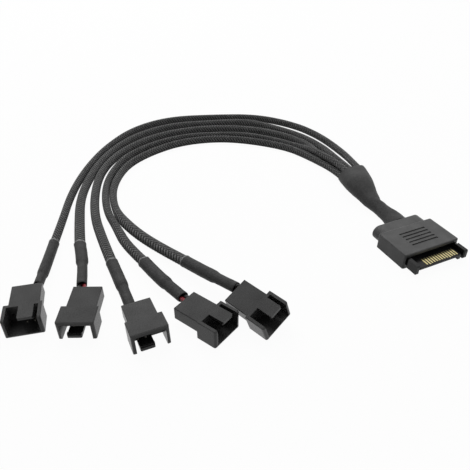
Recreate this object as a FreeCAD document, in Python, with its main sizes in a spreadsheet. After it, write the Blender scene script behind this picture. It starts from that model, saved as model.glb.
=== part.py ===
"""Fan splitter cable: one 15-position power plug, a heat-shrink junction and five braided branches,
each ending in a 4-position male fan header.

Millimetres, +Z up. The origin is the middle of the plug hood's flat underside. The plug faces -Y,
its left and right are -X and +X, and everything lies on the plane z = 0.
"""
import FreeCAD
import Part
import Sketcher

import math
import os
import re

V = FreeCAD.Vector
UP = V(0, 0, 1)

# Driving sizes: name and value, in millimetres or degrees
SIZES = [
    # Power plug: overmoulded hood and the boot block behind it
    ("hood_width", 27.2),
    ("hood_length", 16.3),
    ("hood_height", 6.6),
    ("hood_corner", 0.7),
    ("hood_edge", 0.5),
    ("boot_width", 24.6),
    ("boot_height", 6.2),
    ("boot_base", 0.1),
    ("boot_length", 5.3),
    ("boot_edge", 0.5),
    ("grip_count", 5),
    ("grip_length", 13.0),
    ("grip_width", 0.8),
    ("grip_depth", 0.35),
    ("grip_pitch", 1.9),
    # Power plug: insert with the blade, its key and two guide arms
    ("insert_width", 25.6),
    ("insert_height", 4.0),
    ("insert_base", 1.3),
    ("insert_depth", 9.0),
    ("insert_setback", 1.4),
    ("arm_thickness", 1.6),
    ("arm_reach", 6.2),
    ("arm_lead_in", 0.4),
    ("notch_length", 1.1),
    ("notch_depth", 0.9),
    ("blade_width", 20.57),
    ("blade_thickness", 1.23),
    ("blade_base", 2.3),
    ("blade_reach", 5.6),
    ("blade_lead_in", 0.3),
    ("key_width", 1.3),
    ("key_height", 1.0),
    # Power plug: contact strips
    ("contact_positions", 15),
    ("contact_first", 3),
    ("contact_pitch", 1.27),
    ("contact_width", 0.62),
    ("contact_thickness", 0.15),
    ("contact_root", 1.3),
    ("contact_length", 3.7),
    ("contact_long_length", 3.95),
    # Heat-shrink junction: where it starts, tapers, narrows, swells and ends
    ("junction_start_width", 11.0),
    ("junction_start_height", 6.2),
    ("collar_width", 8.7),
    ("collar_height", 6.2),
    ("collar_rise", 0.15),
    ("neck_width", 6.6),
    ("neck_height", 6.4),
    ("neck_rise", 0.15),
    ("swell_width", 8.6),
    ("swell_height", 7.5),
    ("swell_rise", 0.15),
    ("bulge_width", 13.3),
    ("bulge_height", 10.1),
    ("bulge_rise", 0.15),
    ("mouth_wall", 1.2),
    ("mouth_depth", 5.0),
    # Braided branches
    ("sleeve_diameter", 4.1),
    ("sleeve_gap", 0.15),
    ("sleeve_lead_out", 5.5),
    ("sleeve_lead_in", 14.0),
    # Heat-shrink on the branch ends, over the sleeve and then over the bare wires
    ("shrink_diameter", 4.7),
    ("shrink_waist", 3.9),
    ("shrink_length", 27.5),
    ("shrink_waist_length", 9.5),
    ("shrink_step", 1.6),
    ("shrink_lip", 0.25),
    # Bare stretch of the wires
    ("wire_diameter", 1.5),
    ("wire_pitch", 1.7),
    ("wire_lead", 2.4),
    # Fan header housing
    ("pin_pitch", 2.54),
    ("body_width", 10.4),
    ("body_height", 5.05),
    ("body_length", 11.25),
    ("shroud_width", 12.75),
    ("shroud_height", 7.75),
    ("shroud_length", 8.05),
    ("shroud_wall", 1.2),
    ("plate_thickness", 1.1),
    ("cavity_wall", 0.9),
    ("tongue_width", 5.0),
    ("tongue_thickness", 1.1),
    ("tongue_setback", 0.9),
    ("tongue_corner", 0.5),
    ("catch_length", 0.9),
    ("catch_height", 0.45),
    ("slot_rim", 1.1),
    ("wall_nose", 0.9),
    ("housing_edge", 0.3),
    # Crimped terminals in the housing
    ("bay_size", 2.1),
    ("bay_depth", 7.5),
    ("barrel_size", 1.9),
    ("barrel_length", 7.4),
    ("pin_size", 0.64),
    ("pin_reach", 4.6),
    ("pin_point", 0.2),
    ("pin_clearance", 0.03),
]

# Fan headers where they lie: middle of the shroud's rear edge, heading and which face is up. Behind each,
# the branch's heading, extra length of bare wire, how far its heat-shrink sits to the right and is pushed
# towards the housing, and the twist of the wire pair
HEADERS = [
    {"x": -149.95, "y": 25.63, "turn": -11.84, "roll": 0.0, "flipped": False, "nose_up": False,
     "heading": 20.9, "slack": 0.0, "aside": 0.6, "tuck": 0.7, "twist": 60.0},
    {"x": -132.71, "y": 16.05, "turn": -24.29, "roll": 0.0, "flipped": True, "nose_up": False,
     "heading": 7.9, "slack": 1.2, "aside": -0.85, "tuck": 0.0, "twist": 0.0},
    {"x": -114.64, "y": 1.18, "turn": -0.85, "roll": 0.0, "flipped": True, "nose_up": True,
     "heading": 0.8, "slack": -0.4, "aside": 0.65, "tuck": 1.2, "twist": 60.0},
    {"x": -94.05, "y": -4.55, "turn": 27.37, "roll": 0.0, "flipped": False, "nose_up": False,
     "heading": -13.8, "slack": 0.6, "aside": 0.0, "tuck": 0.0, "twist": 0.0},
    {"x": -76.2, "y": -8.92, "turn": 20.0, "roll": 19.2, "flipped": False, "nose_up": False,
     "heading": -23.4, "slack": 0.0, "aside": -0.9, "tuck": 0.9, "twist": 60.0},
]

# Axis of the junction behind the boot: distance right, distance back, and heading to the right
JUNCTION_START = (1.6, 0.0, 0.0)
JUNCTION_COLLAR = (2.45, 5.6, 4.0)
JUNCTION_NECK = (2.45, 13.0, 1.5)
JUNCTION_SWELL = (3.0, 21.6, 8.0)
JUNCTION_BULGE = (5.1, 32.0, 13.0)
JUNCTION_MOUTH = (7.9, 43.6, 12.0)

# Seats of the five sleeves in the mouth, in sleeve pitches across and in rows up or down
MOUTH_SEATS = [(1.0, -1), (0.5, 1), (0.0, -1), (-0.5, 1), (-1.0, -1)]

# Points of each branch between the junction's mouth and its end heat-shrink: right, back, and
# the height above lying on the floor where the upper row comes down between the lower ones
ROUTES = [
    [(21.0, 80.4, 0), (21.4, 105.0, 0), (15.9, 125.5, 0), (0.5, 145.9, 0), (-23.3, 156.6, 0),
     (-50.1, 165.5, 0), (-74.4, 160.2, 0), (-94.7, 143.0, 0), (-109.7, 123.0, 0), (-121.4, 101.0, 0)],
    [(11.6, 76.6, 3.2), (14.4, 92.3, 0), (11.7, 109.2, 0), (2.1, 128.2, 0), (-8.8, 141.6, 0),
     (-28.7, 150.0, 0), (-52.7, 156.2, 0), (-75.6, 150.5, 0), (-92.9, 137.8, 0), (-105.9, 121.0, 0),
     (-117.9, 96.9, 0)],
    [(8.2, 80.9, 0), (9.8, 101.6, 0), (-2.5, 124.4, 0), (-21.6, 139.3, 0), (-45.5, 146.9, 0),
     (-67.8, 144.8, 0), (-87.7, 135.0, 0), (-101.2, 120.4, 0), (-109.2, 103.6, 0), (-115.4, 78.8, 0)],
    [(5.5, 84.3, 3.3), (4.0, 97.3, 0), (-4.3, 113.1, 0), (-16.8, 127.1, 0), (-32.9, 135.2, 0),
     (-50.7, 139.4, 0), (-70.0, 135.7, 0), (-87.6, 127.6, 0), (-99.2, 113.0, 0), (-106.1, 97.7, 0),
     (-109.7, 78.4, 0), (-108.7, 63.6, 0)],
    [(2.1, 86.7, 0), (-3.2, 101.4, 0), (-17.3, 116.9, 0), (-33.2, 127.8, 0), (-53.7, 132.2, 0),
     (-72.1, 128.1, 0), (-87.5, 120.0, 0), (-97.1, 108.1, 0), (-102.7, 93.6, 0), (-105.6, 75.0, 0),
     (-103.2, 58.1, 0)],
]

ARC_SHARE = 0.45

doc = FreeCAD.newDocument("fan_splitter_cable")
sheet = doc.addObject("Spreadsheet::Sheet", "Sizes")
for row, (alias, number) in enumerate(SIZES, start=1):
    sheet.set(f"A{row}", alias)
    sheet.set(f"B{row}", str(number))
    sheet.setAlias(f"B{row}", alias)
doc.recompute()
NAMES = {alias for alias, _ in SIZES}


def formula(text):
    """A sheet expression from plain size names."""
    return re.sub(r"[a-z_]+", lambda word: f"Sizes.{word[0]}" if word[0] in NAMES else word[0], text)


def size(text):
    """The present value of a formula."""
    return float(sheet.evalExpression(formula(text)))


def bind(thing, **formulas):
    """Tie properties of an object to the sheet."""
    for prop, text in formulas.items():
        thing.setExpression(prop, formula(text))
    return thing


def bind_base(thing, x, y, z):
    """Tie the three coordinates of an object's place to the sheet."""
    for axis, text in zip("xyz", (x, y, z)):
        thing.setExpression(f"Placement.Base.{axis}", formula(text))
    return thing


def box(name, length, width, height, x, y, z):
    """A box whose sizes and lowest corner are formulas."""
    solid = bind(doc.addObject("Part::Box", name), Length=length, Width=width, Height=height)
    return bind_base(solid, x, y, z)


def new_body(label):
    body = doc.addObject("PartDesign::Body", label)
    body.Label = label
    return body


def sketch_outlines(body, name, plane, outlines, offset="0"):
    """Closed straight-sided outlines on an origin plane; two formulas hold each corner."""
    sketch = body.newObject("Sketcher::SketchObject", name)
    support = [item for item in body.Origin.OriginFeatures if item.Role == plane][0]
    sketch.AttachmentSupport = [(support, "")]
    sketch.MapMode = "FlatFace"
    sketch.setExpression("AttachmentOffset.Base.z", formula(offset))
    for corners in outlines:
        points = [V(size(x), size(y), 0) for x, y in corners]
        first = sketch.GeometryCount
        for start, end in zip(points, points[1:] + points[:1]):
            sketch.addGeometry(Part.LineSegment(start, end), False)
        last = sketch.GeometryCount - 1
        for line in range(first, last + 1):
            following = line + 1 if line < last else first
            sketch.addConstraint(Sketcher.Constraint("Coincident", line, 2, following, 1))
        for line, (point, corner) in enumerate(zip(points, corners), start=first):
            for kind, start_value, text in zip(("DistanceX", "DistanceY"), point, corner):
                held = sketch.addConstraint(Sketcher.Constraint(kind, -1, 1, line, 1, start_value))
                sketch.setExpression(f"Constraints[{held}]", formula(text))
    return sketch


def sketch_stadium(body, name, plane, half_straight, radius, middle, offset):
    """Two level lines and two half-round ends; formulas hold the ends' middles and radius."""
    sketch = sketch_outlines(body, name, plane, [], offset)
    reach, end, height = size(half_straight), size(radius), size(middle)
    quarter = math.pi / 2
    right = Part.Circle(V(reach, height, 0), UP, end)
    left = Part.Circle(V(-reach, height, 0), UP, end)
    sketch.addGeometry(Part.LineSegment(V(-reach, height - end, 0), V(reach, height - end, 0)), False)
    sketch.addGeometry(Part.ArcOfCircle(right, -quarter, quarter), False)
    sketch.addGeometry(Part.LineSegment(V(reach, height + end, 0), V(-reach, height + end, 0)), False)
    sketch.addGeometry(Part.ArcOfCircle(left, quarter, 3 * quarter), False)
    for curve in range(4):
        sketch.addConstraint(Sketcher.Constraint("Tangent", curve, 2, (curve + 1) % 4, 1))
    sketch.addConstraint(Sketcher.Constraint("Equal", 1, 3))
    held = [("DistanceX", 1, reach, half_straight), ("DistanceY", 1, height, middle),
            ("DistanceX", 3, -reach, f"-({half_straight})"), ("DistanceY", 3, height, middle)]
    for kind, curve, start_value, text in held:
        number = sketch.addConstraint(Sketcher.Constraint(kind, -1, 1, curve, 3, start_value))
        sketch.setExpression(f"Constraints[{number}]", formula(text))
    number = sketch.addConstraint(Sketcher.Constraint("Radius", 1, end))
    sketch.setExpression(f"Constraints[{number}]", formula(radius))
    return sketch


def rectangle(x_low, x_high, y_low, y_high):
    return [(x_low, y_low), (x_high, y_low), (x_high, y_high), (x_low, y_high)]


def sketch_feature(body, kind, name, sketch, length, reverse=False):
    """A pad or pocket of one sketch."""
    feature = body.newObject(f"PartDesign::{kind}", name)
    feature.Profile = sketch
    feature.Reversed = reverse
    bind(feature, Length=length)
    sketch.Visibility = False
    return feature


def edges_where(feature, test):
    """Names of the edges whose two end points both pass a test."""
    doc.recompute()
    return [f"Edge{number}" for number, edge in enumerate(feature.Shape.Edges, start=1)
            if test([vertex.Point for vertex in edge.Vertexes])]


def dress(body, kind, name, base, edges, length):
    """A fillet or chamfer on chosen edges."""
    feature = body.newObject(f"PartDesign::{kind}", name)
    feature.Base = (base, edges)
    bind(feature, **{"Radius" if kind == "Fillet" else "Size": length})
    return feature


def near(first, second):
    return abs(first - second) < 1e-4


def power_plug_hood():
    body = new_body("power_plug_hood")
    half_width = "hood_width / 2"
    half_length = "hood_length / 2"
    block = sketch_feature(
        body, "Pad", "hood_block",
        sketch_outlines(body, "hood_plan", "XY_Plane",
                        [rectangle(f"-{half_width}", half_width, f"-{half_length}", half_length)]),
        "hood_height")
    sides = edges_where(block, lambda ends: near(ends[0].x, ends[1].x) and near(ends[0].y, ends[1].y))
    rounded = dress(body, "Fillet", "hood_corners", block, sides, "hood_corner")
    top = size("hood_height")
    rim = edges_where(rounded, lambda ends: all(near(end.z, top) for end in ends))
    dress(body, "Fillet", "hood_top_edge", rounded, rim, "hood_edge")
    boot = sketch_feature(
        body, "Pad", "boot_block",
        sketch_stadium(body, "boot_section", "XZ_Plane", "boot_width / 2 - boot_height / 2",
                       "boot_height / 2", "boot_base + boot_height / 2", f"hood_corner - {half_length}"),
        "boot_length + hood_corner", reverse=True)
    back = boot_rear()
    rear = edges_where(boot, lambda ends: all(near(end.y, back) for end in ends))
    dress(body, "Fillet", "boot_rear_edge", boot, rear, "boot_edge")
    sketch_feature(
        body, "Pocket", "insert_seat",
        sketch_outlines(body, "insert_seat_section", "XZ_Plane",
                        [rectangle("-insert_width / 2", "insert_width / 2", "insert_base",
                                   "insert_base + insert_height")],
                        half_length),
        "insert_depth")
    grips = []
    for number in range(round(size("grip_count"))):
        middle = f"({number} - (grip_count - 1) / 2) * grip_pitch"
        grips.append(rectangle("-grip_length / 2", "grip_length / 2",
                               f"{middle} - grip_width / 2", f"{middle} + grip_width / 2"))
    sketch_feature(body, "Pocket", "grip_grooves",
                   sketch_outlines(body, "grip_plan", "XY_Plane", grips, "hood_height"),
                   "grip_depth")
    return body


def power_plug_insert():
    body = new_body("power_plug_insert")
    front = "(hood_length / 2 - insert_setback)"
    top = "insert_base + insert_height"
    outer = "insert_width / 2"
    inner = "insert_width / 2 - arm_thickness"
    sketch_feature(
        body, "Pad", "insert_block",
        sketch_outlines(body, "insert_section", "XZ_Plane",
                        [rectangle(f"-{outer}", outer, "insert_base", top)], front),
        "insert_depth - insert_setback", reverse=True)
    arms = sketch_feature(
        body, "Pad", "guide_arms",
        sketch_outlines(body, "arm_sections", "XZ_Plane",
                        [rectangle(f"-({outer})", f"-({inner})", "insert_base", top),
                         rectangle(inner, outer, "insert_base", top)], front),
        "arm_reach + insert_setback")
    nose = size("-hood_length / 2 - arm_reach")
    reach = size(inner)
    noses = edges_where(arms, lambda ends: all(near(end.y, nose) for end in ends)
                        and (all(near(abs(end.x), reach) for end in ends)
                             or near(ends[0].z, ends[1].z)))
    dress(body, "Chamfer", "arm_noses", arms, noses, "arm_lead_in")
    sketch_feature(
        body, "Pocket", "arm_notches",
        sketch_outlines(body, "notch_plan", "XY_Plane",
                        [rectangle(f"-({outer})", f"notch_depth - ({outer})",
                                   "-hood_length / 2 - notch_length", "-hood_length / 2"),
                         rectangle(f"{outer} - notch_depth", outer,
                                   "-hood_length / 2 - notch_length", "-hood_length / 2")], top),
        "insert_height")
    half_blade = "blade_width / 2"
    crest = "blade_base + blade_thickness"
    blade = sketch_feature(
        body, "Pad", "contact_blade",
        sketch_outlines(body, "blade_section", "XZ_Plane",
                        [[(f"-{half_blade}", "blade_base"), (f"{half_blade} - key_width", "blade_base"),
                          (f"{half_blade} - key_width", "blade_base - key_height"),
                          (half_blade, "blade_base - key_height"),
                          (half_blade, crest), (f"-{half_blade}", crest)]], front),
        "blade_reach + insert_setback")
    tip = size("-hood_length / 2 - blade_reach")
    lip = edges_where(blade, lambda ends: all(near(end.y, tip) for end in ends)
                      and near(ends[0].z, ends[1].z) and abs(ends[0].x - ends[1].x) > size(half_blade))
    dress(body, "Chamfer", "blade_lip", blade, lip, "blade_lead_in")
    return body


def power_contacts():
    """Contact strips on the blade; the positions before the first one are bare."""
    strips = []
    count = round(size("contact_positions"))
    long_ones = (4, count - 3)
    for position in range(round(size("contact_first")), count + 1):
        length = "contact_long_length" if position in long_ones else "contact_length"
        strips.append(box(
            f"contact_{position}", "contact_width", length, "contact_thickness",
            f"({position} - (contact_positions + 1) / 2) * contact_pitch - contact_width / 2",
            f"-hood_length / 2 - contact_root - {length}", "blade_base + blade_thickness"))
    group = doc.addObject("Part::Compound", "power_contacts")
    group.Label = "power_contacts"
    group.Links = strips
    return group


def junction_frame(station):
    """Turn of a junction section: its axis runs level, at a heading to the right of +Y."""
    heading = math.radians(station[2])
    along = V(math.sin(heading), math.cos(heading), 0)
    across = V(along.y, -along.x, 0)
    return along, across


def boot_rear():
    return size("hood_length / 2 + boot_length")


def mouth_place(across_share=0.0, row=0.0, out=0.0):
    """A point at the junction's mouth: shares of a sleeve pitch across, rows up, and distance out."""
    along, across = junction_frame(JUNCTION_MOUTH)
    middle = V(JUNCTION_MOUTH[0], boot_rear() + JUNCTION_MOUTH[1], mouth_half_height())
    return middle + across * (across_share * sleeve_pitch()) + UP * (row * row_rise() / 2) + along * out


def sleeve_pitch():
    return size("sleeve_diameter + sleeve_gap")


def row_rise():
    """Height between the two rows of sleeves, which nest with the same gap as side by side."""
    return sleeve_pitch() * math.sqrt(3) / 2 * size("1 + sleeve_gap / sleeve_diameter")


def mouth_half_width():
    return sleeve_pitch() + size("sleeve_diameter / 2 + mouth_wall")


def mouth_half_height():
    return row_rise() / 2 + size("sleeve_diameter / 2 + mouth_wall")


def junction_section(name, station, half_width, half_height, middle_height):
    """An oval section across the junction's axis."""
    ring = doc.addObject("Part::Ellipse", name)
    wide = max(half_width, half_height)
    ring.MajorRadius = wide
    ring.MinorRadius = min(half_width, half_height)
    along, across = junction_frame(station)
    turn = FreeCAD.Rotation(across, UP, along * -1, "XYZ")
    place = V(station[0], boot_rear() + station[1], middle_height)
    ring.Placement = FreeCAD.Placement(place, turn)
    return ring


def junction_heat_shrink():
    start_half = size("junction_start_height / 2")
    sections = [
        junction_section("junction_start", JUNCTION_START, size("junction_start_width / 2"), start_half,
                         size("boot_base + boot_height / 2")),
        junction_section("junction_collar", JUNCTION_COLLAR, size("collar_width / 2"),
                         size("collar_height / 2"), size("collar_height / 2 + collar_rise")),
        junction_section("junction_neck", JUNCTION_NECK, size("neck_width / 2"), size("neck_height / 2"),
                         size("neck_height / 2 + neck_rise")),
        junction_section("junction_swell", JUNCTION_SWELL, size("swell_width / 2"), size("swell_height / 2"),
                         size("swell_height / 2 + swell_rise")),
        junction_section("junction_bulge", JUNCTION_BULGE, size("bulge_width / 2"), size("bulge_height / 2"),
                         size("bulge_height / 2 + bulge_rise")),
        junction_section("junction_mouth", JUNCTION_MOUTH, mouth_half_width(), mouth_half_height(),
                         mouth_half_height()),
    ]
    tube = doc.addObject("Part::Loft", "junction_tube")
    tube.Sections = sections
    tube.Solid = True
    tube.Ruled = False
    bores = []
    along, _ = junction_frame(JUNCTION_MOUTH)
    for number, (across_share, row) in enumerate(MOUTH_SEATS, start=1):
        bore = doc.addObject("Part::Cylinder", f"mouth_bore_{number}")
        bind(bore, Radius="sleeve_diameter / 2", Height="mouth_depth * 2")
        start = mouth_place(across_share, row, -size("mouth_depth"))
        bore.Placement = FreeCAD.Placement(start, FreeCAD.Rotation(UP, along))
        bores.append(bore)
    openings = doc.addObject("Part::MultiFuse", "mouth_bores")
    openings.Shapes = bores
    junction = doc.addObject("Part::Cut", "junction_heat_shrink")
    junction.Label = "junction_heat_shrink"
    junction.Base = tube
    junction.Tool = openings
    return junction


def header_placement(header):
    """Where a fan header lies: heading, roll onto one edge, or turned over, and lowest point at z = 0."""
    turn = FreeCAD.Rotation(UP, header["turn"])
    roll = FreeCAD.Rotation(V(0, 1, 0), 180.0 if header["flipped"] else -header["roll"])
    lift = size("shroud_height") if header["flipped"] else 0.0
    lean = math.radians(header["roll"])
    lift += size("shroud_width / 2 - housing_edge") * math.sin(lean)
    lift += size("housing_edge") * (1 - math.cos(lean)) if lean else 0.0
    nose = FreeCAD.Rotation()
    if header["nose_up"]:
        step = size("(shroud_height - body_height) / 2")
        nose = FreeCAD.Rotation(V(1, 0, 0), -math.degrees(math.atan2(step, size("body_length"))))
    floor_place = FreeCAD.Placement(V(header["x"], header["y"], 0), turn.multiply(nose))
    return floor_place.multiply(FreeCAD.Placement(V(0, 0, lift), roll))


def pin_offset(position):
    """Formula for a contact position across the housing; positions 0 and 1 are the wired ones."""
    return f"(1.5 - {position}) * pin_pitch"


def squares(side):
    """Four squares in a row, one at each contact position."""
    middle = "shroud_height / 2"
    return [rectangle(f"{pin_offset(position)} - ({side}) / 2", f"{pin_offset(position)} + ({side}) / 2",
                      f"{middle} - ({side}) / 2", f"{middle} + ({side}) / 2") for position in range(4)]


def fan_housing(number, header):
    body = new_body(f"fan_housing_{number}")
    half_shroud = "shroud_width / 2"
    half_cavity = "(shroud_width / 2 - shroud_wall)"
    shroud = sketch_feature(
        body, "Pad", f"shroud_{number}",
        sketch_outlines(body, f"shroud_section_{number}", "XZ_Plane",
                        [rectangle(f"-{half_shroud}", half_shroud, "0", "shroud_height")]),
        "shroud_length")
    front = size("-shroud_length")
    long_edges = edges_where(shroud, lambda ends: not near(ends[0].y, ends[1].y))
    rounded = dress(body, "Fillet", f"shroud_edges_{number}", shroud, long_edges, "housing_edge")
    rear_half = "body_height / 2"
    middle = "shroud_height / 2"
    rear_block = sketch_feature(
        body, "Pad", f"rear_body_{number}",
        sketch_outlines(body, f"rear_section_{number}", "XZ_Plane",
                        [rectangle("-body_width / 2", "body_width / 2", f"{middle} - {rear_half}",
                                   f"{middle} + {rear_half}")]),
        "body_length", reverse=True)
    rear = size("body_length")
    rear_edges = edges_where(rear_block, lambda ends: near(max(end.y for end in ends), rear)
                             and near(min(end.y for end in ends), 0))
    dress(body, "Fillet", f"rear_edges_{number}", rear_block, rear_edges, "housing_edge")
    sketch_feature(
        body, "Pocket", f"cavity_{number}",
        sketch_outlines(body, f"cavity_section_{number}", "XZ_Plane",
                        [rectangle(f"-{half_cavity}", half_cavity, "plate_thickness",
                                   "shroud_height - tongue_thickness")], "cavity_wall"),
        "shroud_length", reverse=True)
    left = "pin_pitch / 2 - tongue_width / 2"
    right = "pin_pitch / 2 + tongue_width / 2"
    tip = "tongue_setback - shroud_length"
    slots = sketch_feature(
        body, "Pocket", f"tongue_slots_{number}",
        sketch_outlines(body, f"tongue_plan_{number}", "XY_Plane",
                        [[(f"-{half_cavity}", "-slot_rim"), (left, "-slot_rim"), (left, tip), (right, tip),
                          (right, "-slot_rim"), (half_cavity, "-slot_rim"),
                          (half_cavity, "-shroud_length * 1.1"), (f"-{half_cavity}", "-shroud_length * 1.1")]],
                        "shroud_height"),
        "tongue_thickness * 1.5")
    tongue_front = size(tip)
    corners = edges_where(slots, lambda ends: all(near(end.y, tongue_front) for end in ends)
                          and near(ends[0].x, ends[1].x))
    tongue = dress(body, "Fillet", f"tongue_corners_{number}", slots, corners, "tongue_corner")
    root = "tongue_setback + tongue_corner - shroud_length"
    top = size("shroud_height")
    noses = edges_where(tongue, lambda ends: all(near(end.y, front) for end in ends)
                        and all(near(end.z, top) for end in ends))
    dress(body, "Fillet", f"wall_noses_{number}", tongue, noses, "wall_nose")
    sketch_feature(
        body, "Pad", f"tongue_catch_{number}",
        sketch_outlines(body, f"catch_plan_{number}", "XY_Plane",
                        [rectangle(left, right, root, f"{root} + catch_length")],
                        "shroud_height - tongue_thickness"),
        "catch_height", reverse=True)
    sketch_feature(body, "Pocket", f"terminal_bays_{number}",
                   sketch_outlines(body, f"bay_sections_{number}", "XZ_Plane", squares("bay_size"), "-body_length"),
                   "bay_depth", reverse=True)
    sketch_feature(body, "Pocket", f"pin_holes_{number}",
                   sketch_outlines(body, f"pin_sections_{number}", "XZ_Plane",
                                   squares("pin_size + pin_clearance * 2"), "cavity_wall"),
                   "cavity_wall + body_length - bay_depth")
    body.Placement = header_placement(header)
    return body


def fan_terminals(number, header):
    """Two crimped terminals: a square barrel in its bay and a pin that reaches into the shroud."""
    terminals = []
    floor = "body_length - bay_depth"
    for position in range(2):
        across = pin_offset(position)
        barrel = box(f"barrel_{number}_{position}", "barrel_size", "barrel_length", "barrel_size",
                     f"{across} - barrel_size / 2", floor, "shroud_height / 2 - barrel_size / 2")
        pin = box(f"pin_{number}_{position}", "pin_size", "pin_reach + cavity_wall + body_length - bay_depth",
                  "pin_size", f"{across} - pin_size / 2", "-cavity_wall - pin_reach",
                  "shroud_height / 2 - pin_size / 2")
        point = doc.addObject("Part::Chamfer", f"pin_point_{number}_{position}")
        point.Base = pin
        tip = size("-cavity_wall - pin_reach")
        bevel = size("pin_point")
        doc.recompute()
        point.Edges = [(index, bevel, bevel) for index, edge in enumerate(pin.Shape.Edges, start=1)
                       if all(near(vertex.Point.y, tip) for vertex in edge.Vertexes)]
        terminal = doc.addObject("Part::MultiFuse", f"terminal_{number}_{position}")
        terminal.Shapes = [barrel, point]
        terminals.append(terminal)
    group = doc.addObject("Part::Compound", f"fan_terminals_{number}")
    group.Label = f"fan_terminals_{number}"
    group.Links = terminals
    group.Placement = header_placement(header)
    return group


def branch_end(header):
    """Ends of a branch at its header, in the part's frame.

    Returns the middle of the two wired bays at the barrels' rear, the waist end of the heat-shrink,
    the end of the sleeve, the last floor point, and the directions across the wires and along the branch.
    """
    place = header_placement(header)
    barrel_rear = place.multVec(V(size("pin_pitch"), size("body_length - bay_depth + barrel_length"),
                                  size("shroud_height / 2")))
    waist = place.multVec(V(size("pin_pitch"), size("body_length + wire_lead") + header["slack"],
                            size("shroud_height / 2")))
    lying = size("shrink_diameter / 2")
    waist.z = max(waist.z, lying)
    heading = math.radians(header["heading"])
    ahead = V(math.sin(heading), math.cos(heading), 0)
    floor_point = waist + ahead * size("shrink_length + sleeve_lead_in")
    floor_point.z = max(size("sleeve_diameter / 2"),
                        lying - (waist.z - lying) * size("sleeve_lead_in / shrink_length"))
    waist += V(ahead.y, -ahead.x, 0) * header["aside"]
    waist -= place.Rotation.multVec(V(0, 1, 0)) * header["tuck"]
    waist.z = max(waist.z, lying)
    along = (floor_point - waist).normalize()
    sleeve_end = waist + along * size("shrink_length")
    across = place.Rotation.multVec(V(1, 0, 0))
    return barrel_rear, waist, sleeve_end, floor_point, across, along


def end_heat_shrink(number, header):
    """Heat-shrink with a thick part over the sleeve, a step, and a waist over the wires."""
    body = new_body(f"end_heat_shrink_{number}")
    thick = "shrink_diameter / 2"
    waist = "shrink_waist / 2"
    step = "shrink_waist_length + shrink_step"
    profile = sketch_outlines(
        body, f"shrink_profile_{number}", "XZ_Plane",
        [[("0", "0"), (f"{waist} - shrink_lip", "0"), (waist, "shrink_lip"), (waist, "shrink_waist_length"),
          (thick, step), (thick, "shrink_length - shrink_lip"),
          (f"{thick} - shrink_lip", "shrink_length"), ("0", "shrink_length")]])
    tube = body.newObject("PartDesign::Revolution", f"shrink_tube_{number}")
    tube.Profile = profile
    tube.ReferenceAxis = (profile, ["V_Axis"])
    tube.Angle = 360.0
    profile.Visibility = False
    _, waist_end, _, _, _, along = branch_end(header)
    body.Placement = FreeCAD.Placement(waist_end, FreeCAD.Rotation(UP, along))
    return body


def bare_wire(label, number, header, position):
    """A short wire from its terminal's barrel to the waist of the heat-shrink, where the pair is twisted."""
    barrel_rear, waist_end, _, _, across, along = branch_end(header)
    side = 1 if position == 0 else -1
    out = header_placement(header).Rotation.multVec(V(0, 1, 0))
    level = (across - along * across.dot(along)).normalize()
    above = UP - along * UP.dot(along)
    above = (above - level * above.dot(level)).normalize()
    twist = math.radians(header["twist"])
    apart = level * math.cos(twist) + above * math.sin(twist)
    ends = [(barrel_rear + across * (side * size("pin_pitch / 2")), out, across),
            (waist_end + apart * (side * size("wire_pitch / 2")), along, level)]
    rings = []
    for end, (middle, normal, sideways) in zip(("barrel", "waist"), ends):
        ring = bind(doc.addObject("Part::Circle", f"{label}_{number}_{end}_end"), Radius="wire_diameter / 2")
        ring.Placement = FreeCAD.Placement(middle, FreeCAD.Rotation(sideways, normal.cross(sideways), normal, "ZXY"))
        rings.append(ring)
    wire = doc.addObject("Part::Loft", f"{label}_{number}")
    wire.Label = f"{label}_{number}"
    wire.Sections = rings
    wire.Solid = True
    wire.Ruled = True
    return wire


def rounded_path(points):
    """Straight runs joined by tangent arcs, each arc as large as its shorter run allows."""
    edges = []
    radii = []
    start = points[0]
    for before, corner, after in zip(points, points[1:], points[2:]):
        arriving = (before - corner).normalize()
        leaving = (after - corner).normalize()
        half_turn = (math.pi - arriving.getAngle(leaving)) / 2
        cut = ARC_SHARE * min((before - corner).Length, (after - corner).Length)
        radius = cut / math.tan(half_turn)
        arc_start = corner + arriving * cut
        arc_end = corner + leaving * cut
        inward = (arriving + leaving).normalize()
        arc_middle = corner + inward * (radius / math.cos(half_turn) - radius)
        edges.append(Part.LineSegment(start, arc_start).toShape())
        edges.append(Part.Arc(arc_start, arc_middle, arc_end).toShape())
        radii.append(radius)
        start = arc_end
    edges.append(Part.LineSegment(start, points[-1]).toShape())
    return Part.Wire(edges), radii


def branch_route(number, header):
    """Route of a sleeve: out of its seat in the mouth, over the floor, into its end heat-shrink."""
    across_share, row = MOUTH_SEATS[number - 1]
    seat = mouth_place(across_share, row, -size("mouth_depth"))
    lead_out = mouth_place(across_share, row, size("sleeve_lead_out"))
    radius = size("sleeve_diameter / 2")
    floor_points = [V(x, y, radius + lift) for x, y, lift in ROUTES[number - 1]]
    _, _, sleeve_end, floor_end, _, _ = branch_end(header)
    return [seat, lead_out] + floor_points + [floor_end, sleeve_end]


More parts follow.
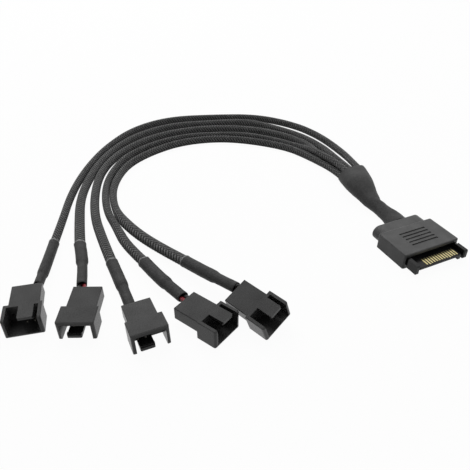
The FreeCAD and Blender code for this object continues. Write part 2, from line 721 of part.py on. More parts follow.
def branch_sleeve(number, header):
    """Braided sleeve as a plain tube along its route."""
    points = branch_route(number, header)
    path, radii = rounded_path(points)
    start_run = points[1] - points[0]
    radius = size("sleeve_diameter / 2")
    section = Part.Wire([Part.makeCircle(radius, points[0], start_run)])
    tube = path.makePipeShell([section], True, False)
    expected = math.pi * radius ** 2 * path.Length
    print(f"branch {number}: length {path.Length:.1f} mm, tightest radius {min(radii):.1f} mm,"
          f" volume {tube.Volume / expected:.4f} of section times length")
    print("   radii", [round(value) for value in radii])
    print("   route", [tuple(round(value, 2) for value in point) for point in points])
    sleeve = doc.addObject("Part::Feature", f"branch_sleeve_{number}")
    sleeve.Label = f"branch_sleeve_{number}"
    sleeve.Shape = tube
    return sleeve


def build():
    nodes = [power_plug_hood(), power_plug_insert(), power_contacts(), junction_heat_shrink()]
    for number, header in enumerate(HEADERS, start=1):
        nodes.append(branch_sleeve(number, header))
        nodes.append(end_heat_shrink(number, header))
        nodes.append(bare_wire("black_wire", number, header, 0))
        nodes.append(bare_wire("red_wire", number, header, 1))
        nodes.append(fan_housing(number, header))
        nodes.append(fan_terminals(number, header))
    doc.recompute()
    return nodes


def write(nodes):
    failed = [item.Name for item in doc.Objects if {"Invalid", "Error"} & set(item.State)]
    if failed:
        raise RuntimeError(f"objects failed: {failed}")
    for node in nodes:
        if node.Shape.isNull() or not node.Shape.isValid():
            raise RuntimeError(f"bad shape: {node.Label}")
    os.makedirs("parts", exist_ok=True)
    for node in nodes:
        node.Shape.exportStep(os.path.join("parts", f"{node.Label}.step"))
        print(f"{node.Label}: {len(node.Shape.Solids)} solid(s), {node.Shape.Volume:.1f} mm3")


write(build())
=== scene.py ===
import math

import bmesh
import bpy
from mathutils import Matrix, Vector, noise


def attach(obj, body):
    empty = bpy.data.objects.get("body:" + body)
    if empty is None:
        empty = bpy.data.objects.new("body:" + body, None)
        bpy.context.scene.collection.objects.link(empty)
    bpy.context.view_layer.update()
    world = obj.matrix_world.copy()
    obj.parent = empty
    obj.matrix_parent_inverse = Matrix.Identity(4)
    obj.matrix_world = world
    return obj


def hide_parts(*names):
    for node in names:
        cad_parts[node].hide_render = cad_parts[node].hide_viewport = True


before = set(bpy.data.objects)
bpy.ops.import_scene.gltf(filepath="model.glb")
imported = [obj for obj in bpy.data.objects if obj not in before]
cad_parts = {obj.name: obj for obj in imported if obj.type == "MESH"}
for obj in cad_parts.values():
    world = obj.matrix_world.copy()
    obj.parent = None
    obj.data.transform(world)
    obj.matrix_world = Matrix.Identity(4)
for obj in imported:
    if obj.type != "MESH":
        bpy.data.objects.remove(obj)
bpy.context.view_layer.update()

MM = 0.001
UP = Vector((0, 0, 1))
WHITE = (1, 1, 1)

# Branches, in millimetres. A sleeve that lies on the floor has its middle at its own radius.
SLEEVE_RADIUS = 2.05
LYING = SLEEVE_RADIUS

# Branch routes: seat in the junction's mouth, run out of it, the floor, and last the heat-shrink's lip. The
# last two points also give the heat-shrink its direction.
ROUTES = [
    [(11.6, 50.9, 6.46), (13.9, 60.6, 5.7), (21, 80.4, LYING), (21.4, 105, LYING), (15.9, 125.5, LYING),
     (0.5, 145.9, LYING), (-23.3, 156.6, LYING), (-50.1, 165.5, LYING), (-74.4, 160.2, LYING),
     (-94.7, 143, LYING), (-109.7, 123, LYING), (-121.4, 101, LYING), (-129.86, 77.24, LYING),
     (-134.88, 63.4, 2.69)],
    [(9.64, 51.31, 3.56), (11.71, 61.04, 3.5), (12.2, 76.6, 3.4), (14.4, 92.3, LYING),
     (11.7, 109.2, LYING), (2.1, 128.2, LYING), (-8.3, 142.4, LYING), (-29.0, 149.2, LYING),
     (-52.7, 156.0, LYING), (-75.6, 150.5, LYING), (-92.9, 137.8, LYING), (-105.9, 121, LYING),
     (-117.9, 96.9, LYING), (-123.21, 71.74, LYING), (-125.43, 57.88, 2.67)],
    [(6.32, 52.02, 3.21), (8.39, 61.75, 3.15), (7.5, 80.9, LYING), (9.4, 101.4, LYING),
     (-2.9, 124.1, LYING), (-22.1, 138.6, LYING), (-45.5, 146.0, LYING), (-67.8, 144.8, LYING),
     (-87.7, 135, LYING), (-101.2, 120.4, LYING), (-109.2, 103.6, LYING), (-115.4, 78.8, LYING),
     (-116.4, 56.33, 2.35), (-116.38, 41.13, 2.4)],
    [(4.66, 52.37, 6.16), (6.73, 62.1, 6.3), (5, 84.3, 5.5), (3.4, 97.1, LYING), (-5.6, 111.9, LYING),
     (-18.0, 125.5, LYING), (-33.7, 132.7, LYING), (-50.7, 137.8, LYING), (-70, 135.7, LYING),
     (-87.6, 127.6, LYING), (-99.2, 113, LYING), (-106.1, 97.7, LYING), (-109.7, 78.4, LYING),
     (-108.7, 63.6, LYING), (-108.24, 49.57, LYING), (-104.9, 35.95, 2.67)],
    [(2.99, 52.73, 3.26), (5.06, 62.46, 3.2), (2.1, 86.7, LYING), (-3.2, 101.4, LYING),
     (-17.3, 116.9, LYING), (-33.2, 127.8, LYING), (-53.7, 132.2, LYING), (-72.1, 128.1, LYING),
     (-87.5, 120, LYING), (-97.1, 108.1, LYING), (-103.65, 93.6, LYING), (-106.2, 75, LYING),
     (-102.6, 58.1, LYING), (-96.29, 42.38, LYING), (-90.62, 28.43, 3.63)],
]
ROUTE_ORDER = 3
ROUTE_FINENESS = 64

# Each branch's sleeve: half width and half height in the bundle and where it lies free, and the free run
# before its end. Its heat-shrink: the step's distance from the waist end, the sideways bow of its middle,
# signed, and the share of its full width that the waist and the thick part are drawn to.
BRANCHES = [
    {"bundled": (1.72, 2.05), "free": (1.68, 2.05), "loose_run": 40,
     "step": 6.2, "bow": -0.15, "waist": 0.88, "thick": 0.86},
    {"bundled": (2.05, 2.05), "free": (2.20, 2.00), "loose_run": 40,
     "step": 13.8, "bow": -0.5, "waist": 0.98, "thick": 1.01},
    {"bundled": (2.05, 2.05), "free": (2.15, 2.00), "loose_run": 40,
     "step": 11.4, "bow": -0.1, "waist": 1.03, "thick": 1.00},
    {"bundled": (1.75, 2.05), "free": (2.15, 2.00), "loose_run": 36,
     "step": 9.8, "bow": 0.5, "waist": 1.15, "thick": 1.08},
    {"bundled": (1.75, 2.05), "free": (2.5, 1.95), "loose_run": 56,
     "step": 10.4, "bow": 0.15, "waist": 1.12, "thick": 1.05},
]
# Run over which a sleeve spreads to its free section.
LOOSE_BLEND = 18.0
# Half width and half height of a sleeve squeezed in the mouth, and the stretch over which it opens out.
MOUTH_SQUEEZE = (1.68, 1.68)
MOUTH_RUN = (10.0, 42.0)

# The braid: strands each way, length along the sleeve for one strand, mesh steps to a strand, depth between
# strands, and filaments in a strand. Each strand goes over two and under two.
BRAID_CHART = "braid"
STRANDS = 6
STRAND_LENGTH = 1.6
STRAND_STEPS = 5
STRAND_RELIEF = 0.13
FILAMENTS = 4
WEAVE_REPEAT = 4
WEAVE_OVER = 2
# Keeps mesh points clear of the border between two strands.
STRAND_NUDGE = 1e-6

# End heat-shrinks, in millimetres from the waist end: where the painted highlight on the lip starts and how
# pale it makes it, where its edge is ragged and by how much, and the swell of the skin. Noise scales are per
# metre for the skin and per unit of direction for the edge, and each branch is a shift further along the
# noise.
SHRINK_LENGTH = 27.5
SHRINK_AROUND = 48
SHRINK_LONGEST_EDGE = 1.5
THICK_RADIUS = 2.35
STEP_BLEND = 1
LIP_LAYER = "lip_painted_highlight"
LIP_HIGHLIGHT_RUN = (26.7, 27.2)
LIP_HIGHLIGHT = 0.6
RAGGED_FROM = 26.0
RAGGED_DEPTH = 0.35
RAGGED_SCALE = 2.2
RAGGED_SHIFT = 3.1
SKIN_SWELL = 0.07
SKIN_SCALE = 420
SKIN_SHIFT = 7.3

# Junction stations in millimetres, with the heading in degrees: right, back, heading, half width, half height,
# height of the middle. Edges sharper than an angle in degrees stay sharp.
JUNCTION = [
    (1.6, 13.45, 0.0, 5.5, 3.1, 3.2),
    (2.45, 19.05, 4.0, 4.35, 3.1, 3.25),
    (2.45, 26.45, 1.5, 3.3, 3.2, 3.35),
    (3.0, 35.05, 8.0, 4.3, 3.75, 3.9),
    (5.1, 45.45, 13.0, 6.65, 5.05, 5.2),
    (8.68, 56.88, 12.0, 7.5, 4.9, 4.95),
]
JUNCTION_AROUND = 64
JUNCTION_RINGS = 50
JUNCTION_SHARP_EDGE = 50
# Sleeves in the mouth, across and up from its middle, and how closely the tube follows the nearest one.
SEATS = [(4.1, 1.3), (2.1, -1.6), (-1.3, -1.95), (-3.0, 1.0), (-4.7, -1.9)]
SEAT_PULL = 1.6
# The tube's radius round a sleeve, how far it is drawn to the bundle, and the share of its length over which
# that happens. Its mouth turns in at the lip and ends at a floor: radius, and depth into the mouth.
TUBE_RADIUS = 2.55
TUBE_HUG = 0.75
MOUTH_HUG = 1.0
HUG_RUN = (0.76, 0.98)
MOUTH_LIP = (1.8, -0.05)
MOUTH_FLOOR = (1.75, 2.2)
# Swells of the tube as (height, noise scale per millimetre), and one kink: its place and width as shares of
# the tube's length, its angle round the tube in radians, and its depth.
SWELLS = [(0.22, 0.16), (0.08, 0.5)]
KINK_PLACE = 0.49
KINK_WIDTH = 0.035
KINK_ANGLE = 0.5
KINK_SHARPNESS = 4
KINK_DEPTH = 0.55

# The stage, in metres: the floor's half size, its grey and how bright it looks straight and in a mirror, the
# world's light and how bright it looks, and the lamps with their edge length and power.
FLOOR_REACH = 3.0
FLOOR_GREY = 0.5
FLOOR_SEEN = 1.0
FLOOR_MIRRORED = 0.9
FLOOR_GLOW_SHARE = 0.96
WORLD_LIGHT = 0.15
WORLD_SEEN = 1.0
LAMP_AIM = (-0.06, 0.06, 0.0)
LAMPS = {
    "key_light": {"place": (0.45, -0.10, 0.55), "size": 0.6, "power": 1.8},
    "back_light": {"place": (0.0, 0.62, 0.66), "size": 0.9, "power": 12.0},
    "fill_light": {"place": (-0.6, -0.3, 0.5), "size": 0.7, "power": 0.5},
}
# The camera: place and nearest depth in metres, degrees down and round, lens and sensor in millimetres.
CAMERA_PLACE = (-0.13617, -0.11522, 0.12511)
CAMERA_DOWN = 36.081
CAMERA_TURN = -25.037
CAMERA_LENS = 37.837
CAMERA_SENSOR = 36
CAMERA_NEAR = 0.01


def bare_material(name):
    material = bpy.data.materials.new(name)
    material.use_nodes = True
    tree = material.node_tree
    tree.nodes.clear()
    return material, tree, tree.nodes.new("ShaderNodeOutputMaterial")


def shader_of(name):
    material, tree, output = bare_material(name)
    shader = tree.nodes.new("ShaderNodeBsdfPrincipled")
    tree.links.new(shader.outputs["BSDF"], output.inputs["Surface"])
    return material, tree, shader


def grain(tree, size, detail, stretch=(1, 1, 1)):
    """Noise in the object's own space, with features of a size in millimetres."""
    place = tree.nodes.new("ShaderNodeTexCoord")
    mapping = tree.nodes.new("ShaderNodeMapping")
    mapping.inputs["Scale"].default_value = stretch
    pattern = tree.nodes.new("ShaderNodeTexNoise")
    pattern.inputs["Scale"].default_value = 1 / (size * MM)
    pattern.inputs["Detail"].default_value = detail
    tree.links.new(place.outputs["Object"], mapping.inputs["Vector"])
    tree.links.new(mapping.outputs["Vector"], pattern.inputs["Vector"])
    return pattern.outputs["Fac"]


def sums(tree, kind, first, second=None):
    """One step of arithmetic on numbers or sockets."""
    node = tree.nodes.new("ShaderNodeMath")
    node.operation = kind
    for socket, value in zip(node.inputs, (first, second)):
        if isinstance(value, (int, float)):
            socket.default_value = value
        elif value is not None:
            tree.links.new(value, socket)
    return node.outputs["Value"]


def weighted(tree, *parts):
    """The sum of (value, weight) parts."""
    total = None
    for value, weight in reversed(parts):
        part = sums(tree, "MULTIPLY", value, weight)
        total = part if total is None else sums(tree, "ADD", part, total)
    return total


def crest(tree, source):
    """1 in the middle of each whole step of a value, and 0 at its ends."""
    return sums(tree, "MULTIPLY", sums(tree, "PINGPONG", source, 0.5), 2.0)


def levels(tree, source, low, high):
    """A source value from 0 to 1, spread from low to high."""
    spread = tree.nodes.new("ShaderNodeMapRange")
    spread.inputs["To Min"].default_value = low
    spread.inputs["To Max"].default_value = high
    tree.links.new(source, spread.inputs["Value"])
    return spread.outputs["Result"]


def colour_by(tree, shader, source, *stops):
    """Base colour along a source value, as (place, colour) stops."""
    ramp = tree.nodes.new("ShaderNodeValToRGB")
    while len(ramp.color_ramp.elements) < len(stops):
        ramp.color_ramp.elements.new(0.5)
    for element, (place, colour) in zip(ramp.color_ramp.elements, stops):
        element.position = place
        element.color = (*colour, 1)
    tree.links.new(source, ramp.inputs["Fac"])
    tree.links.new(ramp.outputs["Color"], shader.inputs["Base Color"])


def roughness_by(tree, shader, source, low, high):
    tree.links.new(levels(tree, source, low, high), shader.inputs["Roughness"])


def relief(tree, shader, height, depth, strength):
    """Bump from a height, with its depth in millimetres."""
    bump = tree.nodes.new("ShaderNodeBump")
    bump.inputs["Strength"].default_value = strength
    bump.inputs["Distance"].default_value = depth * MM
    tree.links.new(height, bump.inputs["Height"])
    tree.links.new(bump.outputs["Normal"], shader.inputs["Normal"])


def grey(level, tint=WHITE):
    return tuple(level * share for share in tint)


def moulded_plastic(name, dark, light, roughness, sheen, tint=WHITE):
    """Moulded plastic with a spark-eroded grain and faint flow clouds."""
    material, tree, shader = shader_of(name)
    clouds = grain(tree, size=5.0, detail=2.0)
    specks = grain(tree, size=0.22, detail=4.0)
    mixed = weighted(tree, (clouds, 0.6), (specks, 0.4))
    colour_by(tree, shader, mixed, (0.32, grey(dark, tint)), (0.68, grey(light, tint)))
    roughness_by(tree, shader, specks, low=roughness - 0.08, high=roughness + 0.08)
    shader.inputs["Specular IOR Level"].default_value = sheen
    relief(tree, shader, specks, depth=0.02, strength=0.5)
    return material


def heat_shrink_skin(name):
    """Satin heat-shrink: faint shrink marks, small dimples, a soft sheen, and a painted highlight that makes
    the cut lip pale.
    """
    material, tree, shader = shader_of(name)
    clouds = grain(tree, size=3.5, detail=3.0)
    dimples = grain(tree, size=0.7, detail=2.0)
    mixed = weighted(tree, (clouds, 0.45), (dimples, 0.55))
    lip = tree.nodes.new("ShaderNodeAttribute")
    lip.attribute_name = LIP_LAYER
    # The lip's painted highlight lifts the grain's tone towards the palest stop.
    grain_and_lip_highlight = sums(tree, "ADD", mixed, lip.outputs["Fac"])
    colour_by(tree, shader, grain_and_lip_highlight, (0.34, grey(0.007)), (0.66, grey(0.027)), (1.0, grey(0.16)))
    roughness_by(tree, shader, mixed, low=0.48, high=0.68)
    shader.inputs["Specular IOR Level"].default_value = 0.33
    relief(tree, shader, mixed, depth=0.12, strength=0.8)
    return material


def braid_yarn(name):
    """Braided sleeve: painted shade between the strands and painted highlights on their crowns, with filaments
    along each strand that carry painted highlights too, and painted shade on strands that pass under.
    """
    material, tree, shader = shader_of(name)
    chart = tree.nodes.new("ShaderNodeUVMap")
    chart.uv_map = BRAID_CHART
    parts = tree.nodes.new("ShaderNodeSeparateXYZ")
    tree.links.new(chart.outputs["UV"], parts.inputs["Vector"])
    right_hand = sums(tree, "ADD", parts.outputs["X"], parts.outputs["Y"])
    left_hand = sums(tree, "SUBTRACT", parts.outputs["X"], parts.outputs["Y"])
    cell = sums(tree, "ADD", sums(tree, "FLOOR", right_hand), sums(tree, "FLOOR", left_hand))
    turn = sums(tree, "FLOORED_MODULO", cell, WEAVE_REPEAT)
    on_top = sums(tree, "LESS_THAN", turn, WEAVE_OVER - 0.5)
    across = tree.nodes.new("ShaderNodeMix")
    tree.links.new(on_top, across.inputs["Factor"])
    tree.links.new(left_hand, across.inputs["A"])
    tree.links.new(right_hand, across.inputs["B"])
    strand = across.outputs["Result"]
    crown = crest(tree, strand)
    filament = crest(tree, sums(tree, "MULTIPLY", strand, FILAMENTS))
    fleck = levels(tree, grain(tree, size=1.1, detail=1.0), low=-0.2, high=1.2)
    # Painted highlight on the crowns of strands and filaments and painted shade between them, mixed with
    # random flecks of the yarn's own tone.
    crown_highlight_and_flecks = weighted(tree, (crown, 0.62), (filament, 0.10), (fleck, 0.28))
    # Painted shade on the strands that pass under, and painted light on those on top.
    painted_highlight_and_shade = sums(tree, "ADD", crown_highlight_and_flecks, levels(tree, on_top, low=-0.04, high=0.04))
    colour_by(tree, shader, painted_highlight_and_shade,
              (0.26, grey(0.016)), (0.48, grey(0.042)), (0.66, grey(0.085)), (0.85, grey(0.16)))
    roughness_by(tree, shader, fleck, low=0.5, high=0.75)
    shader.inputs["Specular IOR Level"].default_value = 0.06
    ridges = sums(tree, "ADD", crown, sums(tree, "MULTIPLY", filament, 0.4))
    relief(tree, shader, ridges, depth=0.04, strength=0.5)
    return material


def plated_metal(name, dark, light, roughness):
    """Plated strip metal with fine scratches along it."""
    material, tree, shader = shader_of(name)
    scratches = grain(tree, size=0.3, detail=3.0, stretch=(6, 0.6, 6))
    colour_by(tree, shader, scratches, (0.3, dark), (0.7, light))
    roughness_by(tree, shader, scratches, low=roughness - 0.06, high=roughness + 0.08)
    shader.inputs["Metallic"].default_value = 1.0
    relief(tree, shader, scratches, depth=0.01, strength=0.4)
    return material


def wire_insulation(name, dark, light):
    """Extruded wire insulation: smooth, with faint drawing marks."""
    material, tree, shader = shader_of(name)
    marks = grain(tree, size=0.5, detail=3.0)
    colour_by(tree, shader, marks, (0.3, dark), (0.7, light))
    roughness_by(tree, shader, marks, low=0.3, high=0.42)
    relief(tree, shader, marks, depth=0.02, strength=0.3)
    return material


HOOD_PLASTIC = moulded_plastic("hood_plastic", dark=0.038, light=0.066, roughness=0.36, sheen=0.22)
INSERT_PLASTIC = moulded_plastic("insert_plastic", dark=0.004, light=0.009, roughness=0.20, sheen=0.25,
                                 tint=(1, 0.99, 1.02))
HOUSING_PLASTIC = moulded_plastic("housing_plastic", dark=0.017, light=0.029, roughness=0.28, sheen=0.33)
HEAT_SHRINK = heat_shrink_skin("heat_shrink")
BRAID = braid_yarn("braid")
GILDED = plated_metal("gilded_contacts", dark=(0.54, 0.46, 0.21), light=(0.72, 0.64, 0.35), roughness=0.16)
# Terminal metal set near black: painted shade for pins that sit in the shrouds' shade.
SHADE_DARKENED_TERMINALS = plated_metal("terminal_metal", dark=(0.03, 0.028, 0.025), light=(0.07, 0.066, 0.06),
                      roughness=0.45)
BLACK_INSULATION = wire_insulation("black_insulation", dark=grey(0.012), light=grey(0.03))
RED_INSULATION = wire_insulation("red_insulation", dark=(0.14, 0.010, 0.016), light=(0.26, 0.024, 0.034))


def add_piece(form, name, material, slot, *nodes):
    """A finished mesh as a piece of the part, in place of the nodes that it stands for."""
    mesh = bpy.data.meshes.new(name)
    form.to_mesh(mesh)
    form.free()
    mesh.materials.append(material)
    piece = bpy.data.objects.new(name, mesh)
    bpy.context.scene.collection.objects.link(piece)
    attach(piece, "root")
    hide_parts(*nodes)
    return piece


def dress_node(name, material):
    """A node whose shape is right keeps it, and takes the material."""
    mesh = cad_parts[name].data
    mesh.materials.clear()
    mesh.materials.append(material)


def smooth_step(value, low, high):
    share = min(max((value - low) / (high - low), 0.0), 1.0)
    return share * share * (3 - 2 * share)


def smooth_skin(form):
    for face in form.faces:
        face.smooth = True
    bmesh.ops.recalc_face_normals(form, faces=form.faces)


def route_line(route):
    """The route's own spline, read back as points."""
    curve = bpy.data.curves.new("route", "CURVE")
    curve.dimensions = "3D"
    spline = curve.splines.new("NURBS")
    spline.points.add(len(route) - 1)
    for point, place in zip(spline.points, route):
        point.co = (*(Vector(place) * MM), 1)
    spline.order_u = ROUTE_ORDER
    spline.use_endpoint_u = True
    spline.resolution_u = ROUTE_FINENESS
    carrier = bpy.data.objects.new("route", curve)
    line = bpy.data.meshes.new_from_object(carrier)
    points = [vertex.co.copy() for vertex in line.vertices]
    bpy.data.objects.remove(carrier)
    bpy.data.curves.remove(curve)
    bpy.data.meshes.remove(line)
    return points


def even_stations(points, step):
    """Evenly spaced places along the spline's points, each with its distance along, and the whole length."""
    marks = [0.0]
    for first, second in zip(points, points[1:]):
        marks.append(marks[-1] + (second - first).length)
    count = round(marks[-1] / step)
    stations = []
    index = 0
    for number in range(count + 1):
        mark = marks[-1] * number / count
        while index < len(points) - 2 and marks[index + 1] < mark:
            index += 1
        share = (mark - marks[index]) / (marks[index + 1] - marks[index])
        stations.append((points[index].lerp(points[index + 1], share), mark))
    return stations, marks[-1]


def strand_height(right_hand, left_hand):
    """Height of the strand on top, from 0 between strands to 1 on a crown."""
    on_top = (math.floor(right_hand) + math.floor(left_hand)) % WEAVE_REPEAT < WEAVE_OVER
    across = (right_hand if on_top else left_hand) % 1.0
    return math.sqrt(max(0.0, 1 - (2 * across - 1) ** 2))


def sleeve_section(build, mark, to_end):
    """Half width and half height of a sleeve, at distances from its start and to its end."""
    free = smooth_step(to_end / MM, build["loose_run"], build["loose_run"] - LOOSE_BLEND)
    loose = Vector(build["bundled"]).lerp(Vector(build["free"]), free)
    return Vector(MOUTH_SQUEEZE).lerp(loose, smooth_step(mark / MM, *MOUTH_RUN))


def branch_sleeve(number, route, build):
    """Braided sleeve swept along its route: an oval that spreads where the branch lies free."""
    points = route_line(route)
    stations, length = even_stations(points, STRAND_LENGTH * MM / STRAND_STEPS)
    around = STRANDS * STRAND_STEPS
    form = bmesh.new()
    chart = form.loops.layers.uv.new(BRAID_CHART)
    rings = []
    for index, (place, mark) in enumerate(stations):
        ahead = stations[min(index + 1, len(stations) - 1)][0] - stations[max(index - 1, 0)][0]
        side = ahead.cross(UP).normalized()
        over = side.cross(ahead).normalized()
        half_width, half_height = sleeve_section(build, mark, length - mark)
        along = index / STRAND_STEPS
        ring = []
        for step in range(around):
            angle = 2 * math.pi * step / around
            turn = step / STRAND_STEPS
            height = strand_height(turn + along + STRAND_NUDGE, turn - along + STRAND_NUDGE)
            sunk = STRAND_RELIEF * (height - 1)
            ring.append(form.verts.new(place + side * math.cos(angle) * (half_width + sunk) * MM
                                       + over * math.sin(angle) * (half_height + sunk) * MM))
        rings.append(ring)
    for index, (ring, following) in enumerate(zip(rings, rings[1:])):
        for step in range(around):
            onward = (step + 1) % around
            face = form.faces.new((ring[step], ring[onward], following[onward], following[step]))
            face.smooth = True
            corners = ((step, index), (step + 1, index), (step + 1, index + 1), (step, index + 1))
            for loop, (turn, along) in zip(face.loops, corners):
                loop[chart].uv = (turn / STRAND_STEPS, along / STRAND_STEPS)
    form.faces.new(reversed(rings[0]))
    form.faces.new(rings[-1])
    bmesh.ops.recalc_face_normals(form, faces=form.faces)
    sleeve = add_piece(form, f"braided_sleeve_{number}", BRAID, "braid", f"branch_sleeve_{number}")


def shrink_profile(step):
    """(distance from the waist end, radius) of an end heat-shrink, from the wires to the sleeve."""
    waist = [(0.6, 1.5), (0.0, 1.64), (0.0, 1.84), (0.2, 1.95), (1.2, 1.96), (step * 0.45, 1.95),
             (step - 1.1, 1.96)]
    shoulder = [(step - 0.4, 2.03), (step + 0.2, 2.21), (step + 0.9, 2.33), (step + 2.0, THICK_RADIUS)]
    thick = [(step + 5.0, THICK_RADIUS), (22.0, THICK_RADIUS), (25.0, THICK_RADIUS)]
    lip = [(26.6, 2.36), (27.3, 2.45), (SHRINK_LENGTH, 2.42), (SHRINK_LENGTH, 2.26), (27.0, 2.04)]
    return waist + shoulder + thick + lip


def end_heat_shrink(number, route, build):
    """Lathed heat-shrink with a thick part over the sleeve, a soft step, a waist and a ragged lip."""
    lead_in = Vector(route[-2]) * MM
    sleeve_end = Vector(route[-1]) * MM
    along = (sleeve_end - lead_in).normalized()
    waist_end = sleeve_end + along * SHRINK_LENGTH * MM
    form = bmesh.new()
    rim = [form.verts.new((radius * MM, 0, distance * MM))
           for distance, radius in shrink_profile(build["step"])]
    edges = [form.edges.new(pair) for pair in zip(rim, rim[1:])]
    bmesh.ops.spin(form, geom=rim + edges, cent=(0, 0, 0), axis=(0, 0, 1), angle=2 * math.pi,
                   steps=SHRINK_AROUND, use_merge=True)
    bmesh.ops.subdivide_edges(
        form, cuts=2, use_grid_fill=True,
        edges=[edge for edge in form.edges
               if abs(edge.verts[0].co.z - edge.verts[1].co.z) > SHRINK_LONGEST_EDGE * MM])
    lip_painted_highlight = form.verts.layers.float.new(LIP_LAYER)
    for vertex in form.verts:
        spot = vertex.co
        # Painted highlight along the lip's rim, kept in an attribute.
        vertex[lip_painted_highlight] = LIP_HIGHLIGHT * smooth_step(spot.z / MM, *LIP_HIGHLIGHT_RUN)
        out = Vector((spot.x, spot.y, 0)).normalized()
        shift = SKIN_SWELL * noise.noise(spot * SKIN_SCALE + Vector((number * SKIN_SHIFT, 0, 0)))
        vertex.co += out * shift * MM
        if spot.z > RAGGED_FROM * MM:
            patch = out * RAGGED_SCALE + Vector((0, 0, number * RAGGED_SHIFT))
            vertex.co.z += RAGGED_DEPTH * MM * noise.noise(patch)
        drawn = smooth_step(spot.z / MM, build["step"] - STEP_BLEND, build["step"] + STEP_BLEND)
        vertex.co.x *= build["waist"] + (build["thick"] - build["waist"]) * drawn
        vertex.co.x += build["bow"] * math.sin(math.pi * spot.z / (SHRINK_LENGTH * MM)) * MM
    smooth_skin(form)
    turn = (-along).to_track_quat("Z", "Y").to_matrix().to_4x4()
    bmesh.ops.transform(form, matrix=Matrix.Translation(waist_end) @ turn, verts=form.verts)
    for vertex in form.verts:
        vertex.co.z = max(vertex.co.z, 0.0)
    add_piece(form, f"shrunk_end_{number}", HEAT_SHRINK, "heat_shrink", f"end_heat_shrink_{number}")


def spline_value(values, share):
    """A smooth run through the stations' values, at a share of the way along."""
    spans = len(values) - 1
    span = min(int(share * spans), spans - 1)
    part = share * spans - span
    before = values[max(span - 1, 0)]
    first, second = values[span], values[span + 1]
    after = values[min(span + 2, spans)]
    return 0.5 * (2 * first + (second - before) * part
                  + (2 * before - 5 * first + 4 * second - after) * part ** 2
                  + (3 * first - before - 3 * second + after) * part ** 3)


def oval_point(half_width, half_height, angle):
    wide = half_width * math.cos(angle)
    high = half_height * math.sin(angle)
    reach = math.hypot(wide, high)
    return Vector((half_width * wide / reach, half_height * high / reach, 0))


def bundle_point(radius, angle):
    """Outline of the tube drawn tight round the five sleeves, at a direction."""
    facing = Vector((math.cos(angle), math.sin(angle), 0))
    weights = [math.exp(SEAT_PULL * (seat[0] * facing.x + seat[1] * facing.y)) for seat in SEATS]
    total = sum(weights)
    middle = Vector((sum(w * seat[0] for w, seat in zip(weights, SEATS)) / total,
                     sum(w * seat[1] for w, seat in zip(weights, SEATS)) / total, 0))
    return middle + facing * radius


def junction_ring(form, share, radius, hug, depth=0.0):
    """One ring of the junction: an oval by the boot, drawn to the bundle's outline at the mouth."""
    right, rear, heading, half_width, half_height, middle = (
        spline_value(values, share) for values in zip(*JUNCTION))
    turn = math.radians(heading)
    along = Vector((math.sin(turn), math.cos(turn), 0))
    across = Vector((along.y, -along.x, 0))
    centre = Vector((right, rear, middle)) - along * depth
    fit = hug * smooth_step(share, *HUG_RUN)
    ring = bmesh.ops.create_circle(form, segments=JUNCTION_AROUND, radius=1.0)["verts"]
    for number, vertex in enumerate(ring):
        angle = 2 * math.pi * number / JUNCTION_AROUND
        spot = oval_point(half_width, half_height, angle).lerp(bundle_point(radius, angle), fit)
        place = centre + across * spot.x + UP * spot.y
        out = across * math.cos(angle) + UP * math.sin(angle)
        swell = sum(height * noise.noise(place * scale) for height, scale in SWELLS)
        kink = (math.exp(-((share - KINK_PLACE) / KINK_WIDTH) ** 2)
                * max(0.0, math.cos(angle - KINK_ANGLE)) ** KINK_SHARPNESS)
        place += out * (swell - KINK_DEPTH * kink)
        vertex.co = place * MM
    return ring


def ring_edges(ring):
    chosen = set(ring)
    return list({edge for vertex in ring for edge in vertex.link_edges
                 if edge.verts[0] in chosen and edge.verts[1] in chosen})


def junction_heat_shrink():
    """Tube from the boot to the mouth, whose lip turns in round the sleeves."""
    form = bmesh.new()
    rings = [junction_ring(form, number / JUNCTION_RINGS, TUBE_RADIUS, TUBE_HUG)
             for number in range(JUNCTION_RINGS + 1)]
    for radius, depth in (MOUTH_LIP, MOUTH_FLOOR):
        rings.append(junction_ring(form, 1.0, radius, MOUTH_HUG, depth))
    outlines = [ring_edges(ring) for ring in rings]
    for first, second in zip(outlines, outlines[1:]):
        bmesh.ops.bridge_loops(form, edges=first + second)
    for outline in (outlines[0], outlines[-1]):
        bmesh.ops.contextual_create(form, geom=outline)
    smooth_skin(form)
    tube = add_piece(form, "shrunk_junction", HEAT_SHRINK, "heat_shrink", "junction_heat_shrink")
    tube.data.set_sharp_from_angle(angle=math.radians(JUNCTION_SHARP_EDGE))


def seen_straight(tree):
    """1 for rays from the camera, mirror rays and rays through glass, and 0 for the rest."""
    path = tree.nodes.new("ShaderNodeLightPath")
    first = sums(tree, "MAXIMUM", path.outputs["Is Camera Ray"], path.outputs["Is Glossy Ray"])
    return sums(tree, "MAXIMUM", first, path.outputs["Is Transmission Ray"])


def white_floor():
    form = bmesh.new()
    bmesh.ops.create_grid(form, x_segments=1, y_segments=1, size=FLOOR_REACH)
    mesh = bpy.data.meshes.new("floor")
    form.to_mesh(mesh)
    form.free()
    floor = bpy.data.objects.new("floor", mesh)
    bpy.context.scene.collection.objects.link(floor)
    material, tree, output = bare_material("floor_white")
    matt = tree.nodes.new("ShaderNodeBsdfDiffuse")
    matt.inputs["Color"].default_value = (*grey(FLOOR_GREY), 1)
    glow = tree.nodes.new("ShaderNodeEmission")
    path = tree.nodes.new("ShaderNodeLightPath")
    tree.links.new(levels(tree, path.outputs["Is Glossy Ray"], FLOOR_SEEN, FLOOR_MIRRORED),
                   glow.inputs["Strength"])
    mix = tree.nodes.new("ShaderNodeMixShader")
    tree.links.new(sums(tree, "MULTIPLY", seen_straight(tree), FLOOR_GLOW_SHARE), mix.inputs["Fac"])
    tree.links.new(matt.outputs["BSDF"], mix.inputs[1])
    tree.links.new(glow.outputs["Emission"], mix.inputs[2])
    tree.links.new(mix.outputs["Shader"], output.inputs["Surface"])
    mesh.materials.append(material)


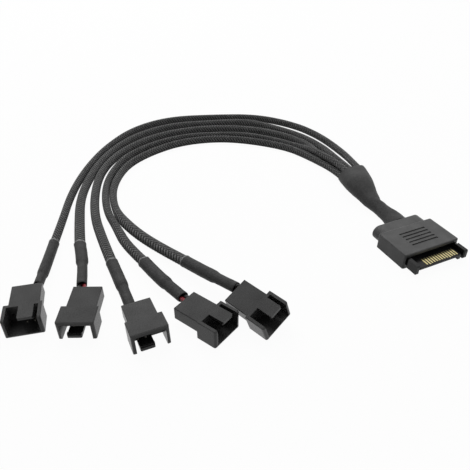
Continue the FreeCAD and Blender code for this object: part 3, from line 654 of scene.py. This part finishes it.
def studio_light(name, place, size, power):
    lamp = bpy.data.lights.new(name, "AREA")
    lamp.shape = "SQUARE"
    lamp.size = size
    lamp.energy = power
    holder = bpy.data.objects.new(name, lamp)
    holder.location = place
    holder.rotation_mode = "QUATERNION"
    holder.rotation_quaternion = (Vector(LAMP_AIM) - Vector(place)).to_track_quat("-Z", "Y")
    holder.visible_glossy = False
    bpy.context.scene.collection.objects.link(holder)


def studio():
    for name, lamp in LAMPS.items():
        studio_light(name, **lamp)
    world = bpy.data.worlds.new("studio")
    bpy.context.scene.world = world
    world.use_nodes = True
    tree = world.node_tree
    tree.nodes.clear()
    output = tree.nodes.new("ShaderNodeOutputWorld")
    sky = tree.nodes.new("ShaderNodeBackground")
    tree.links.new(levels(tree, seen_straight(tree), WORLD_LIGHT, WORLD_SEEN), sky.inputs["Strength"])
    sky.inputs["Color"].default_value = (*WHITE, 1)
    tree.links.new(sky.outputs["Background"], output.inputs["Surface"])
    bpy.context.scene.view_settings.view_transform = "Standard"


def camera():
    lens = bpy.data.cameras.new("camera")
    lens.lens = CAMERA_LENS
    lens.sensor_width = CAMERA_SENSOR
    lens.clip_start = CAMERA_NEAR
    holder = bpy.data.objects.new("camera", lens)
    holder.location = CAMERA_PLACE
    holder.rotation_euler = (math.radians(90 - CAMERA_DOWN), 0, math.radians(CAMERA_TURN))
    bpy.context.scene.collection.objects.link(holder)
    bpy.context.scene.camera = holder


dress_node("power_plug_hood", HOOD_PLASTIC)
dress_node("power_plug_insert", INSERT_PLASTIC)
dress_node("power_contacts", GILDED)
junction_heat_shrink()
for branch, (branch_route, branch_build) in enumerate(zip(ROUTES, BRANCHES), start=1):
    branch_sleeve(branch, branch_route, branch_build)
    end_heat_shrink(branch, branch_route, branch_build)
    dress_node(f"black_wire_{branch}", BLACK_INSULATION)
    dress_node(f"red_wire_{branch}", RED_INSULATION)
    dress_node(f"fan_housing_{branch}", HOUSING_PLASTIC)
    dress_node(f"fan_terminals_{branch}", SHADE_DARKENED_TERMINALS)
white_floor()
studio()
camera()
